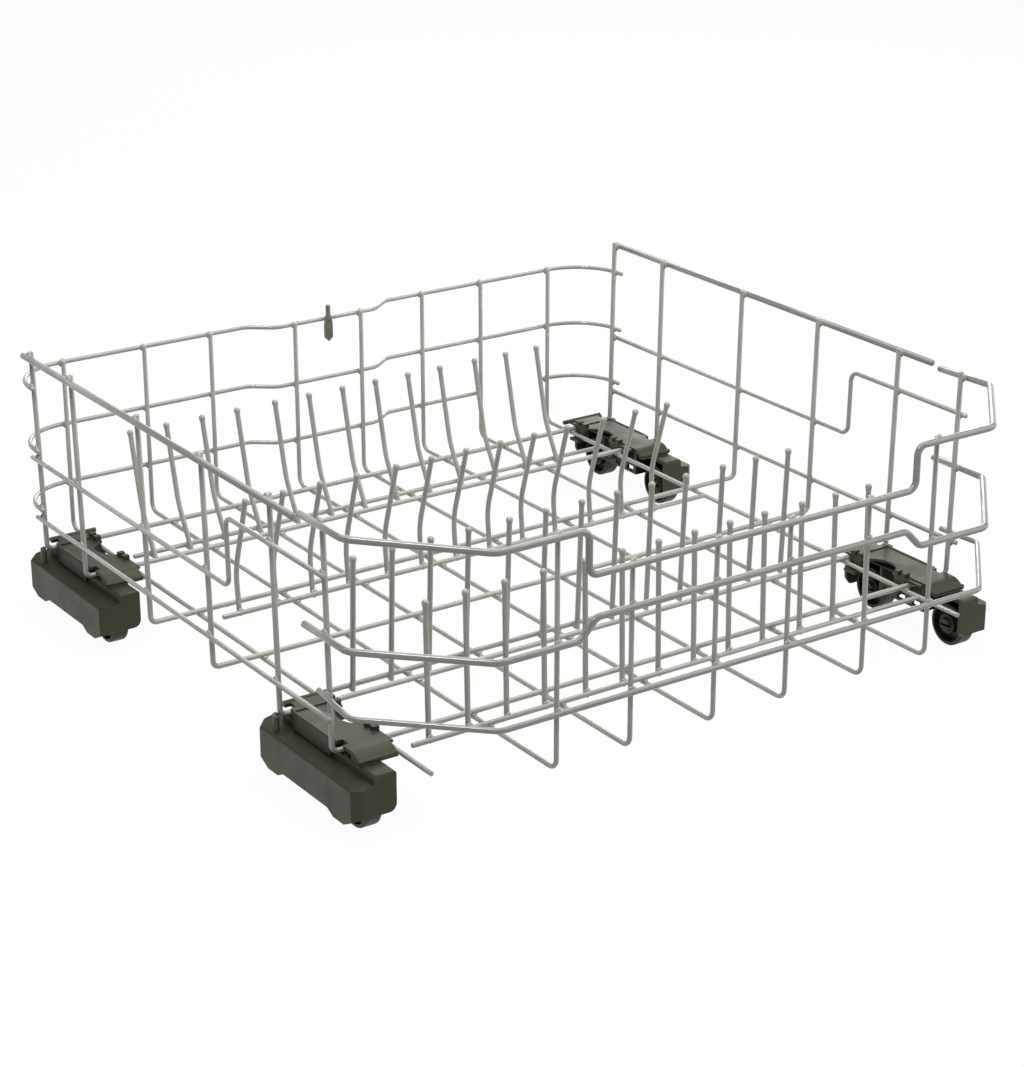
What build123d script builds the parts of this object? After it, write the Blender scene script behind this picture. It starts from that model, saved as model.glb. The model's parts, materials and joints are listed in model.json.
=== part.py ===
"""Lower dishwasher rack: welded, coated wire basket on four clip-on roller assemblies.

Millimetres, +X to the right seen from the front, +Y to the back, +Z up. The origin is on the
surface that the wheels stand on, under the middle of the rack.
"""
from build123d import *
import os
from math import cos, degrees, radians, tan

# Overall sizes
RACK_WIDTH = 513.5
RACK_DEPTH = 531.0
FLOOR_HEIGHT = 43.0

# Wire diameters over the coating
CROSS_D = 3.6
LENGTH_D = 3.2
THIN_D = 3.2
RAIL_D = 4.5
BOTTOM_RAIL_D = 3.8
BASE_D = 3.4
TINE_D = 3.6
TINE_TIP_D = 4.7
TIP_LENGTH = 5.0
WELD_CLEARANCE = 0.02
END_CHAMFER = 0.7

# Side walls
SIDE_TOP_Z = 187.3
POST_STICKOUT = 3.5
WALL_FLARE = 2.4
CROSS_BEND = 4.5
SIDE_MIDDLE_LOW_Z = 112.2
SIDE_MIDDLE_HIGH_Z = 159.5
SIDE_LOW_Z = 67.0
SIDE_STEP_BEND = 7.0
SIDE_STEP_BACK = 35.0
SIDE_OVERHANG = 5.0
SIDE_TOP_SHORT = 26.5

# Cross wires: a pair for the rollers near each end, and two that share the space between the pairs
BACK_TO_CROSS = 35.2
FRONT_TO_CROSS = 89.3
ROLLER_PAIR = 62.5
BAY_SHARES = (0.361, 0.3205, 0.3185)

# Lengthwise wires: the outer ones' distance from the rack's side, the others' share of the half between
OUTER_WIRE_IN = 46.05
LENGTH_SHARES = (0.1357, 0.4376, 0.6953, 1.0)
LENGTH_BEND = 7.0
POST_OVERHANG = 2.3
OUTER_WIRE_FREE = 36.3

# Back wall wires
BACK_TOP_Z = 165.5
BACK_MIDDLE_Z = 119.3
BACK_LOW_Z = 75.0
BACK_CORNER = 40.0
BACK_END = 6.5
BACK_JOG = 14.0
JOG_PAST_POST = 14.4
JOG_RAMP = 18.0
JOG_BEND = 14.0

# Front rails
TOP_RAIL_RISE = 2.4
TOP_RAIL_DIP = 29.0
DIP_IN = 19.7
DIP_BEND = 6.5
MIDDLE_RAIL_Z = 121.1
MIDDLE_RAIL_RISE = 12.4
RISE_RUN = 12.0
RISE_BEND = 8.0
BOTTOM_RAIL_Z = 77.6
RIGHT_CORNER_BACK = 5.5
CHAMFER = 63.5
RAIL_CORNER = 11.0
UPPER_ARM = 50.0
BOTTOM_ARM = 37.0

# Rise of each rail's arms above the rail, at the corner and at the arm's end
TOP_ARM_LEFT = (2.0, 2.0)
TOP_ARM_RIGHT = (-2.8, -4.4)
MIDDLE_ARM = (0.0, 0.0)
BOTTOM_ARM_LEFT = (0.0, 5.0)
BOTTOM_ARM_RIGHT = (-3.7, -5.2)

# Tines: thirteen in groups of four, six and three, with a wider gap between groups
TINE_COUNTS = (4, 6, 3)
TINE_PITCH_SHARE = 0.1357
GROUP_GAP_SHARE = 0.149
FIRST_TINE_IN = 21.3
TINE_TAIL = 2.4
TINE_KINK = 28.0
TINE_BEND = 50.0
BASE_SHORT = 6.7

# Rows of tines from the back: base wire's distance behind its cross wire, height, and the backward leans
# below and above the bend
ROW_BEHIND = (15.0, -18.5, 14.0, -19.4)
ROW_HEIGHTS = (85.2, 85.8, 91.0, 90.5)
ROW_LEAN_ANGLES = ((29.0, 13.4), (6.0, -17.3), (-2.5, -2.5), (1.3, 1.3))

# Catch on the back top wire
CATCH_STUB_D = 3.6
CATCH_ABOVE = 8.0
CATCH_BELOW = 17.0
CATCH_WIDTH = 6.6
CATCH_THICKNESS = 2.0

# Roller assemblies, held by the two cross wires at each end of the rack
ROLLER_INSET = 1.0
ROLLER_WIDTH = 28.9
ROLLER_LENGTH = 120.0
ROLLER_FORWARD = 10.1
ROLLER_CHAMFER = 5.5
ROLLER_WALL = 2.6
DECK_WIDTH = 15.7
DECK_WALL = 2.3
DECK_CLEARANCE = 0.1
TROUGH_DROP = 6.0
TROUGH_FALL = 2.5
GROOVE_R = 8.0
GROOVE_DEPTH = 1.5
GROOVE_IN = 8.3
GROOVE_END = 7.0
GROOVE_WALL = 1.2
DECK_REAR = 7.0
SKIRT_Z = 10.5
LOBE_Z = 7.0
LOBE_HALF = 6.0
LOBE_SLOPE = 7.0
END_WALL_Z = 14.5
BEAM_Z = 20.0
BEAM_HEIGHT = 8.0
BEAM_WHEEL_GAP = 1.0
BEAM_WINDOW = 8.0
BEAM_WINDOW_HEIGHT = 4.0
RIB = 2.2
SHOULDER_R = 2.0
DECK_R = 2.0
END_CORNER_R = 5.0
GATE_MARK = 0.8
GATE_RISE = 2.4

# Wheels
WHEEL_D = 31.0
WHEEL_WIDTH = 11.5
WHEEL_END_GAP = 2.4
WHEEL_BORE_D = 8.1
AXLE_CLEARANCE = 0.05
HUB_D = 14.0
RIM = 2.6
WEB = 3.0
WEB_RECESS = 5.5
TREAD_CHAMFER = 0.8
WHEEL_PLAY = 0.3
WHEEL_SKIN_GAP = 7.9
AXLE_BOSS_D = 13.0
SNAP_HEAD_D = 10.4
SNAP_HEAD = 2.2
SNAP_SLOT = 1.8

# Clips
CLIP_PLATE = 1.7
CLIP_CLEARANCE = 0.3
CLIP_REAR = 6.5
CLIP_FRONT = 12.5
CLIP_BAND = 0.8
CLIP_BAND_BACK = 8.0
CLIP_LIP_R = 13.5
CLIP_LIP_INSET = 3.3
CLIP_RIM_R = 1.7
CLIP_RIM_REACH = 5.5
CLIP_RIDGE_R = 1.5
CLIP_FLANGE_DROP = 5.0
LIP_END = 1.6
LIP_BEAD_R = 1.6
SCOOP_LENGTH = 31.0
SCOOP_DEPTH = 12.0
SLOT_LENGTH = 4.0
LATCH_SPREAD = 22.5
LATCH_LENGTH = 11.0
LATCH_WALL = 4.5
LATCH_RISE = 3.2
LATCH_NOTCH = 3.2
LATCH_HOOK = 2.0
LATCH_LIP = 6.4
LATCH_CLEARANCE = 0.3

# Collars outside and behind the posts at the rear of each housing
COLLAR_R = 5.0
COLLAR_BORE_R = 2.6
COLLAR_TOP = 0.5

# Places worked out from the sizes above
half_width = RACK_WIDTH / 2
side_top_x = half_width - RAIL_D / 2
post_top_x = side_top_x - (RAIL_D + CROSS_D) / 2 - WELD_CLEARANCE
length_z = FLOOR_HEIGHT - (CROSS_D + LENGTH_D) / 2 - WELD_CLEARANCE
base_z = length_z + (LENGTH_D + BASE_D) / 2 + WELD_CLEARANCE
back_wire_y = RACK_DEPTH / 2 - THIN_D / 2
back_post_y = back_wire_y - (THIN_D + LENGTH_D) / 2 - WELD_CLEARANCE
front_rail_y = RAIL_D / 2 - RACK_DEPTH / 2
front_post_y = front_rail_y + (RAIL_D + LENGTH_D) / 2 + WELD_CLEARANCE
wall_top_z = SIDE_TOP_Z + POST_STICKOUT
rear_pair_y = back_post_y - BACK_TO_CROSS
front_pair_y = front_post_y + FRONT_TO_CROSS + ROLLER_PAIR
bays = rear_pair_y - ROLLER_PAIR - front_pair_y
cross_y = [rear_pair_y, rear_pair_y - ROLLER_PAIR]
for share in BAY_SHARES:
    cross_y.append(cross_y[-1] - share * bays)
cross_y.append(cross_y[-1] - ROLLER_PAIR)
outer_x = half_width - OUTER_WIRE_IN
right_x = [share * outer_x for share in LENGTH_SHARES]
length_x = [-x for x in reversed(right_x)] + right_x
jog_inner_x = right_x[0] + JOG_PAST_POST
jog_outer_x = jog_inner_x + JOG_RAMP
dip_x = right_x[2] - DIP_IN
top_rail_z = SIDE_TOP_Z + TOP_RAIL_RISE
dip_z = top_rail_z - TOP_RAIL_DIP
wheel_r = WHEEL_D / 2


def post_x(z):
    """Distance of a side post's axis from the middle at height z: the walls flare outwards."""
    return post_top_x - WALL_FLARE * (SIDE_TOP_Z - z) / (SIDE_TOP_Z - FLOOR_HEIGHT)


def beside_posts(z, diameter):
    """Distance from the middle of a wire that lies outside the side posts at height z."""
    return post_x(z) + (CROSS_D + diameter) / 2 + WELD_CLEARANCE


def run(edge, diameter):
    """Round bar along one straight or arc edge of a wire's path."""
    section = Plane(edge @ 0, z_dir=edge % 0) * Circle(diameter / 2)
    if edge.geom_type == GeomType.LINE:
        return extrude(section, edge.length, dir=edge % 0)
    arm = (edge @ 0) - edge.arc_center
    axis = Axis(edge.arc_center, arm.cross(edge % 0))
    return revolve(section, axis, degrees(edge.length / edge.radius))


def bar(path, diameter):
    """Round bar along a path of straight and arc edges."""
    first, *others = [run(edge, diameter) for edge in path.edges()]
    return first + others if others else first


def wire(points, diameter, bends=()):
    """Round wire along straight runs joined by arcs, with its cut ends eased."""
    path = FilletPolyline(*points, radius=bends) if bends else Line(*points)
    whole = bar(path, diameter)
    ends = whole.faces().filter_by(GeomType.PLANE)
    return chamfer(ends.edges(), END_CHAMFER)


def cross_wire(y):
    """Left post, floor run and right post, bent from one wire."""
    top = post_x(wall_top_z)
    foot = post_x(FLOOR_HEIGHT)
    points = [
        (-top, y, wall_top_z),
        (-foot, y, FLOOR_HEIGHT),
        (foot, y, FLOOR_HEIGHT),
        (top, y, wall_top_z),
    ]
    return wire(points, CROSS_D, [CROSS_BEND] * 2)


def length_wire(x):
    """Back post and floor run, with a front post on all but the outermost wires."""
    jogged = abs(x) < jog_inner_x
    back_y = back_post_y - (BACK_JOG if jogged else 0)
    points = [(x, back_y, BACK_TOP_Z + POST_OVERHANG), (x, back_y, length_z)]
    if abs(x) == outer_x:
        points.append((x, front_post_y + OUTER_WIRE_FREE, length_z))
        return wire(points, LENGTH_D, [LENGTH_BEND])
    rail_z = top_rail_z if abs(x) > dip_x else dip_z
    points += [(x, front_post_y, length_z), (x, front_post_y, rail_z + POST_OVERHANG)]
    return wire(points, LENGTH_D, [LENGTH_BEND] * 2)


def back_wire_points(z):
    """Back wall wire from the left side wall to the right one, jogged in at the middle."""
    x = beside_posts(z, THIN_D)
    end_y = cross_y[0] - BACK_END
    jog_y = back_wire_y - BACK_JOG
    right = [(jog_inner_x, jog_y, z), (jog_outer_x, back_wire_y, z), (x, back_wire_y, z), (x, end_y, z)]
    left = [(-px, py, pz) for px, py, pz in reversed(right)]
    return left + right


BACK_BENDS = [BACK_CORNER, JOG_BEND, JOG_BEND, JOG_BEND, JOG_BEND, BACK_CORNER]


def back_wire(z):
    """Whole back wall wire."""
    return wire(back_wire_points(z), THIN_D, BACK_BENDS)


def back_low_wire():
    """Low back wire, which stops just past the last post but one on the right."""
    points = back_wire_points(BACK_LOW_Z)[:-2]
    points.append((right_x[-2] + POST_OVERHANG, back_wire_y, BACK_LOW_Z))
    return wire(points, THIN_D, BACK_BENDS[:-1])


def back_corner_wire():
    """Short low wire round the right back corner."""
    points = [(outer_x - LENGTH_D, back_wire_y, BACK_LOW_Z)] + back_wire_points(BACK_LOW_Z)[-2:]
    return wire(points, THIN_D, [BACK_CORNER])


def side_top_wire(side):
    """Thick top wire of a side wall, which ends short of the front rail's arm."""
    x = side * side_top_x
    start = (x, cross_y[0] + SIDE_OVERHANG, SIDE_TOP_Z)
    end = (x, cross_y[-1] + SIDE_TOP_SHORT + corner_back(side) - CHAMFER, SIDE_TOP_Z)
    return wire([start, end], RAIL_D)


def side_middle_wire(side):
    """Thin middle wire of a side wall, stepped up towards the front."""
    low_x = side * beside_posts(SIDE_MIDDLE_LOW_Z, THIN_D)
    high_x = side * beside_posts(SIDE_MIDDLE_HIGH_Z, THIN_D)
    step_y = cross_y[3] - SIDE_STEP_BACK
    points = [
        (low_x, cross_y[0] + SIDE_OVERHANG, SIDE_MIDDLE_LOW_Z),
        (low_x, step_y, SIDE_MIDDLE_LOW_Z),
        (high_x, step_y, SIDE_MIDDLE_HIGH_Z),
        (high_x, cross_y[-1] - SIDE_OVERHANG, SIDE_MIDDLE_HIGH_Z),
    ]
    return wire(points, THIN_D, [SIDE_STEP_BEND] * 2)


def side_low_wire(side):
    """Thin low wire of a side wall."""
    x = side * beside_posts(SIDE_LOW_Z, THIN_D)
    start = (x, cross_y[0] + SIDE_OVERHANG, SIDE_LOW_Z)
    end = (x, cross_y[-1] - SIDE_OVERHANG, SIDE_LOW_Z)
    return wire([start, end], THIN_D)


def corner_back(side):
    """Distance of a front rail's corner behind its front run."""
    return CHAMFER if side < 0 else CHAMFER + RIGHT_CORNER_BACK


def rail_y(diameter):
    """Place of a front rail that lies on the front of the front posts."""
    return front_post_y - (diameter + LENGTH_D) / 2 - WELD_CLEARANCE


def rail_end(side, front_z, arm, rises, diameter=RAIL_D):
    """Chamfered corner of a front rail and the arm that it sends back along the side wall."""
    corner_z = front_z + rises[0]
    end_z = front_z + rises[1]
    x = beside_posts(end_z, diameter)
    arm_y = front_rail_y + corner_back(side)
    return [
        (side * (x - CHAMFER), rail_y(diameter), front_z),
        (side * x, arm_y, corner_z),
        (side * x, arm_y + arm, end_z),
    ]


def front_rail(middle, bends, left_end, right_end, diameter=RAIL_D):
    """Front rail from the left arm's end to the right arm's end."""
    points = left_end[::-1] + middle + right_end
    corners = [RAIL_CORNER] * 2
    return wire(points, diameter, corners + bends + corners)


def front_top_rail():
    """Top rail, dipped between the outer front posts, its right arm bent a little down."""
    right = [(dip_x, front_rail_y, dip_z), (dip_x, front_rail_y, top_rail_z)]
    left = [(-x, y, z) for x, y, z in reversed(right)]
    left_end = rail_end(-1, top_rail_z, UPPER_ARM, TOP_ARM_LEFT)
    right_end = rail_end(1, top_rail_z, UPPER_ARM, TOP_ARM_RIGHT)
    return front_rail(left + right, [DIP_BEND] * 4, left_end, right_end)


def front_middle_rail():
    """Middle rail, raised between the outer front posts."""
    high_z = MIDDLE_RAIL_Z + MIDDLE_RAIL_RISE
    inner_x = dip_x - RISE_RUN / 2
    right = [(inner_x, front_rail_y, high_z), (inner_x + RISE_RUN, front_rail_y, MIDDLE_RAIL_Z)]
    left = [(-x, y, z) for x, y, z in reversed(right)]
    ends = [rail_end(side, MIDDLE_RAIL_Z, UPPER_ARM, MIDDLE_ARM) for side in (-1, 1)]
    return front_rail(left + right, [RISE_BEND] * 4, *ends)


def front_bottom_rail():
    """Thinner bottom rail, whose left arm rises and right arm drops as in the rack pictured."""
    left_end = rail_end(-1, BOTTOM_RAIL_Z, BOTTOM_ARM, BOTTOM_ARM_LEFT, BOTTOM_RAIL_D)
    right_end = rail_end(1, BOTTOM_RAIL_Z, BOTTOM_ARM, BOTTOM_ARM_RIGHT, BOTTOM_RAIL_D)
    return front_rail([], [], left_end, right_end, BOTTOM_RAIL_D)


def tine_stations():
    """X of each tine, in groups with a wider gap between them."""
    stations = []
    x = FIRST_TINE_IN - outer_x
    for count in TINE_COUNTS:
        stations += [x + TINE_PITCH_SHARE * outer_x * number for number in range(count)]
        x = stations[-1] + GROUP_GAP_SHARE * outer_x
    return stations


def tine(height, lower_lean, upper_lean):
    """One tine in the YZ plane, its foot beside the base wire at the origin; leans are backwards."""
    lower = tan(radians(lower_lean))
    upper = tan(radians(upper_lean))
    shaft_top = height - TIP_LENGTH / 2
    kink_y = TINE_KINK * lower
    top = (0, kink_y + (shaft_top - TINE_KINK) * upper, shaft_top)
    points = [(0, -TINE_TAIL * lower, -TINE_TAIL), (0, kink_y, TINE_KINK), top]
    if lower_lean == upper_lean:
        path = Line(points[0], top)
    else:
        path = FilletPolyline(*points, radius=TINE_BEND)
    return bar(path, TINE_D) + Plane(top, x_dir=(1, 0, 0), z_dir=path % 1) * tine_tip()


def tine_tip():
    """Dipped tip, a little thicker than the shaft, turned about the shaft's axis at its end."""
    r = TINE_TIP_D / 2
    half = TIP_LENGTH / 2
    belly = half - r
    slant = r * cos(radians(45))
    sides = Polyline((0, half), (0, -half), (TINE_D / 2, -half), (r, belly))
    dome = ThreePointArc((r, belly), (slant, belly + slant), (0, half))
    return revolve(Plane.XZ * make_face(sides + dome), Axis.Z)


# Cross wires that the rows stand beside, from the back
row_cross_y = (cross_y[1], cross_y[2], cross_y[4], cross_y[5])


def tine_row(neighbour_y, behind, height, leans):
    """Base wire and the tines welded to its side towards the cross wire, as separate wires."""
    lower_lean, upper_lean = leans
    y = neighbour_y + behind
    end_x = outer_x - BASE_SHORT
    base = wire([(-end_x, y, base_z), (end_x, y, base_z)], BASE_D)
    reach = ((BASE_D + TINE_D) / 2 + WELD_CLEARANCE) / cos(radians(lower_lean))
    model = tine(height, lower_lean, upper_lean)
    foot_y = y - reach if behind > 0 else y + reach
    tines = [Pos(x, foot_y, base_z) * model for x in tine_stations()]
    return Compound(children=[base] + tines)


def catch():
    """Short wire stub in front of the back top wire, flattened below it to a pointed paddle."""
    y = back_wire_y - BACK_JOG - (THIN_D + CATCH_STUB_D) / 2 - WELD_CLEARANCE
    stub = Pos(0, y, BACK_TOP_Z) * Cylinder(
        CATCH_STUB_D / 2, CATCH_ABOVE + THIN_D, align=(Align.CENTER, Align.CENTER, Align.MIN))
    stub = chamfer(stub.faces().sort_by(Axis.Z)[-1].edges(), END_CHAMFER)
    half = CATCH_WIDTH / 2
    outline = Polyline(
        (-half, -THIN_D), (-half, half - CATCH_BELOW), (0, -CATCH_BELOW), (half, half - CATCH_BELOW),
        (half, -THIN_D), (CATCH_STUB_D / 2, THIN_D), (-CATCH_STUB_D / 2, THIN_D), close=True)
    paddle = extrude(Plane.XZ * make_face(outline), CATCH_THICKNESS / 2, both=True)
    return stub + Pos(0, y, BACK_TOP_Z) * paddle


# Roller assembly, modelled for the right side with y counted from its rear cross wire
roller_outer = half_width - ROLLER_INSET
roller_inner = roller_outer - ROLLER_WIDTH
roller_middle = -ROLLER_PAIR / 2 - ROLLER_FORWARD
roller_rear = roller_middle + ROLLER_LENGTH / 2
roller_front = roller_middle - ROLLER_LENGTH / 2
deck_z = FLOOR_HEIGHT - CROSS_D / 2 - DECK_CLEARANCE
deck_edge = roller_inner + DECK_WIDTH
trough_z = deck_z - TROUGH_DROP
skin_inside = roller_outer - ROLLER_WALL
groove_x = roller_outer - GROOVE_IN
groove_bottom = trough_z - TROUGH_FALL * (groove_x - deck_edge) / (roller_outer - deck_edge) - GROOVE_DEPTH
roof_z = groove_bottom - GROOVE_WALL
wheel_outer = skin_inside - WHEEL_SKIN_GAP
wheel_inner = wheel_outer - WHEEL_WIDTH
wheel_from_end = ROLLER_WALL + WHEEL_END_GAP + wheel_r
wheel_ys = (roller_rear - wheel_from_end, roller_front + wheel_from_end)
plate_low = FLOOR_HEIGHT + CROSS_D / 2 + CLIP_CLEARANCE
plate_top = plate_low + CLIP_PLATE
plate_outer = deck_edge
plate_inner = outer_x + LENGTH_D / 2 + LATCH_CLEARANCE
plate_rear = CLIP_REAR
plate_front = -ROLLER_PAIR - CLIP_FRONT


def box(x0, x1, y0, y1, z0, z1):
    """Box between two corners."""
    return Pos((x0 + x1) / 2, (y0 + y1) / 2, (z0 + z1) / 2) * Box(abs(x1 - x0), abs(y1 - y0), abs(z1 - z0))


def along_y(points, y0, y1):
    """Outline of (x, z) points drawn out from y0 to y1."""
    face = make_face(Polyline(*[(x, 0, z) for x, z in points], close=True))
    return extrude(Pos(0, y0, 0) * face, y1 - y0, dir=(0, 1, 0))


def along_x(points, x0, x1):
    """Outline of (y, z) points drawn out from x0 to x1."""
    face = make_face(Polyline(*[(0, y, z) for y, z in points], close=True))
    return extrude(Pos(x0, 0, 0) * face, x1 - x0, dir=(1, 0, 0))


def housing_shell():
    """Moulded cover with a flat deck, a sloping trough outside it and skirt lobes over the wheels."""
    outer = along_y(
        [(roller_inner, deck_z), (deck_edge, deck_z), (deck_edge, trough_z),
         (roller_outer, trough_z - TROUGH_FALL), (roller_outer, 0), (roller_inner, 0)],
        roller_front, roller_rear)
    uprights = outer.edges().filter_by(Axis.Z).sort_by(Axis.X)[-2:]
    outer = chamfer(uprights, ROLLER_CHAMFER)
    rim_z = trough_z - TROUGH_FALL / 2
    shoulder = [edge for edge in outer.edges() if SKIRT_Z < edge.center().Z < rim_z]
    shoulder = [edge for edge in shoulder if abs(edge.tangent_at(0.5).Z) < abs(edge.tangent_at(0.5).Y)]
    outer = fillet(shoulder, SHOULDER_R)
    deck_edges = outer.faces().sort_by(Axis.Z)[-1].edges().sort_by(Axis.Y)[:-1]
    outer = fillet(deck_edges, DECK_R)
    skirt = [(roller_front, deck_z), (roller_rear, deck_z), (roller_rear, END_WALL_Z)]
    for y in wheel_ys:
        skirt += [(y + LOBE_HALF + LOBE_SLOPE, SKIRT_Z), (y + LOBE_HALF, LOBE_Z),
                  (y - LOBE_HALF, LOBE_Z), (y - LOBE_HALF - LOBE_SLOPE, SKIRT_Z)]
    skirt.append((roller_front, END_WALL_Z))
    outer = outer & along_x(skirt, roller_inner, roller_outer)
    outer -= box(roller_inner, deck_edge, DECK_REAR, roller_rear, trough_z, deck_z)
    outer -= groove()
    hollow = box(0, skin_inside, roller_front + ROLLER_WALL, roller_rear - ROLLER_WALL, 0, roof_z)
    inside_chamfer = hollow.edges().filter_by(Axis.Z).sort_by(Axis.X)[-2:]
    attic = box(0, deck_edge - DECK_WALL, roller_front + ROLLER_WALL, DECK_REAR - ROLLER_WALL,
                0, deck_z - DECK_WALL)
    shell = outer - chamfer(inside_chamfer, ROLLER_CHAMFER) - attic
    gate = Pos(roller_outer, roller_middle, SKIRT_Z) * Box(4 * ROLLER_WALL, GATE_MARK, 2 * GATE_RISE)
    shell -= gate
    corners = [edge for edge in shell.edges().group_by(Axis.X)[0] if edge.center().Z < END_WALL_Z]
    return fillet(corners, END_CORNER_R)


def groove():
    """Shallow round-bottomed groove outside the deck, where the posts come down, closed at both ends."""
    start = roller_front + GROOVE_END + GROOVE_R
    length = roller_rear - GROOVE_END - GROOVE_R - start
    bottom = (Align.CENTER, Align.CENTER, Align.MIN)
    channel = Rotation(-90, 0, 0) * Cylinder(GROOVE_R, length, align=bottom)
    channel += Sphere(GROOVE_R) + Pos(0, length, 0) * Sphere(GROOVE_R)
    shape = Pos(groove_x, start, groove_bottom + GROOVE_R) * channel
    return shape - box(roller_inner, deck_edge, roller_front, roller_rear, 0, 2 * deck_z)


def stub_axle(y):
    """Moulded axle with a shoulder on the skin and a slotted snap head inside the wheel."""
    lie = Pos(skin_inside, y, wheel_r) * Rotation(0, -90, 0)
    start = (Align.CENTER, Align.CENTER, Align.MIN)
    boss = Cylinder(AXLE_BOSS_D / 2, WHEEL_SKIN_GAP - WHEEL_PLAY, align=start)
    head_start = WHEEL_SKIN_GAP + WHEEL_WIDTH + WHEEL_PLAY
    pin = Cylinder(WHEEL_BORE_D / 2 - AXLE_CLEARANCE, head_start, align=start)
    head = Pos(0, 0, head_start) * Cone(SNAP_HEAD_D / 2, WHEEL_BORE_D / 2, SNAP_HEAD, align=start)
    slot = Pos(0, 0, head_start) * Box(
        SNAP_SLOT, SNAP_HEAD_D, WHEEL_WIDTH, align=(Align.CENTER, Align.CENTER, Align.CENTER))
    return lie * (boss + pin + head - slot)


def collar():
    """Part-round collar that stands in the groove, outside and behind the foot of the rear post."""
    height = FLOOR_HEIGHT + COLLAR_TOP - roof_z
    start = (Align.CENTER, Align.CENTER, Align.MIN)
    ring = Cylinder(COLLAR_R, height, align=start) - Cylinder(COLLAR_BORE_R, height, align=start)
    half = Pos(COLLAR_R, 0, 0) * Box(2 * COLLAR_R, 4 * COLLAR_R, height, align=start)
    return Pos(post_x(FLOOR_HEIGHT), 0, roof_z) * (ring & half & Rotation(0, 0, 45) * half)


def housing():
    """Shell, cross ribs, windowed inner beam and two stub axles in one moulding."""
    body = housing_shell()
    beam_rear = wheel_ys[0] - wheel_r - BEAM_WHEEL_GAP
    beam_front = wheel_ys[1] + wheel_r + BEAM_WHEEL_GAP
    for y in (beam_rear - RIB, beam_front):
        body += box(roller_inner, skin_inside, y, y + RIB, BEAM_Z, roof_z + GROOVE_WALL / 2)
        body += box(roller_inner, deck_edge - DECK_WALL / 2, y, y + RIB, BEAM_Z, deck_z - DECK_WALL)
    beam = box(roller_inner, roller_inner + RIB, beam_front, beam_rear, BEAM_Z, BEAM_Z + BEAM_HEIGHT)
    pitch = (beam_rear - beam_front) / 3
    for number in (-1, 0, 1):
        beam -= Pos(roller_inner, roller_middle + number * pitch, BEAM_Z + BEAM_HEIGHT / 2) * Box(
            4 * RIB, BEAM_WINDOW, BEAM_WINDOW_HEIGHT)
    body += beam + collar()
    for y in wheel_ys:
        body += stub_axle(y)
    return body


def wheel():
    """Wheel turned about the X axis, with a dished inner face, centred at its outer side."""
    bore = WHEEL_BORE_D / 2
    hub = HUB_D / 2
    rim = wheel_r - RIM
    web_out = WHEEL_WIDTH - WEB_RECESS
    web_in = web_out - WEB
    profile = Polyline(
        (bore, 0), (hub, 0), (hub, web_in), (rim, web_in), (rim, 0), (wheel_r - TREAD_CHAMFER, 0),
        (wheel_r, TREAD_CHAMFER), (wheel_r, WHEEL_WIDTH - TREAD_CHAMFER),
        (wheel_r - TREAD_CHAMFER, WHEEL_WIDTH), (rim, WHEEL_WIDTH), (rim, web_out), (hub, web_out),
        (hub, WHEEL_WIDTH), (bore, WHEEL_WIDTH), close=True)
    return Rotation(0, -90, 0) * revolve(Plane.XZ * make_face(profile), Axis.Z)


def latch(y):
    """Wall at the clip's inner edge with two nubs above and a hook under the outer lengthwise wire."""
    hook_top = length_z - LENGTH_D / 2 - LATCH_CLEARANCE
    start = y - LATCH_LENGTH / 2
    end = y + LATCH_LENGTH / 2
    low, high = hook_top - LATCH_HOOK, plate_top + LATCH_RISE
    block = box(plate_inner, plate_inner + LATCH_WALL, start, end, low, high)
    block -= Pos(plate_inner, y, plate_top + LATCH_RISE) * Box(4 * LATCH_WALL, LATCH_NOTCH, 2 * LATCH_RISE)
    return block + box(plate_inner - LATCH_LIP, plate_inner, start, end, hook_top - LATCH_HOOK, hook_top)


def lip():
    """Front lip rolled down from the front band to just above the deck, with an end wall and a bead."""
    top = plate_top + CLIP_BAND
    drop = top - deck_z - CLIP_CLEARANCE
    lip_inner = plate_inner + CLIP_LIP_INSET
    width = plate_outer - lip_inner
    roll = Cylinder(CLIP_LIP_R, width) - Cylinder(CLIP_LIP_R - CLIP_PLATE - CLIP_BAND, width)
    roll += Pos(0, 0, (width - LIP_END) / 2) * Cylinder(CLIP_LIP_R, LIP_END)
    low = CLIP_LIP_R - drop
    keep = Pos(0, -CLIP_LIP_R, low) * Box(
        width, 2 * CLIP_LIP_R, drop, align=(Align.CENTER, Align.CENTER, Align.MIN))
    edge_y = LIP_BEAD_R - (CLIP_LIP_R**2 - low**2)**0.5
    bead = Rotation(0, 90, 0) * Cylinder(LIP_BEAD_R, width) + Pos(width / 2, 0, 0) * Sphere(LIP_BEAD_R)
    rolled = (Rotation(0, 90, 0) * roll & keep) + Pos(0, edge_y, low + LIP_BEAD_R) * bead
    return Pos((lip_inner + plate_outer) / 2, plate_front, top - CLIP_LIP_R) * rolled


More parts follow.
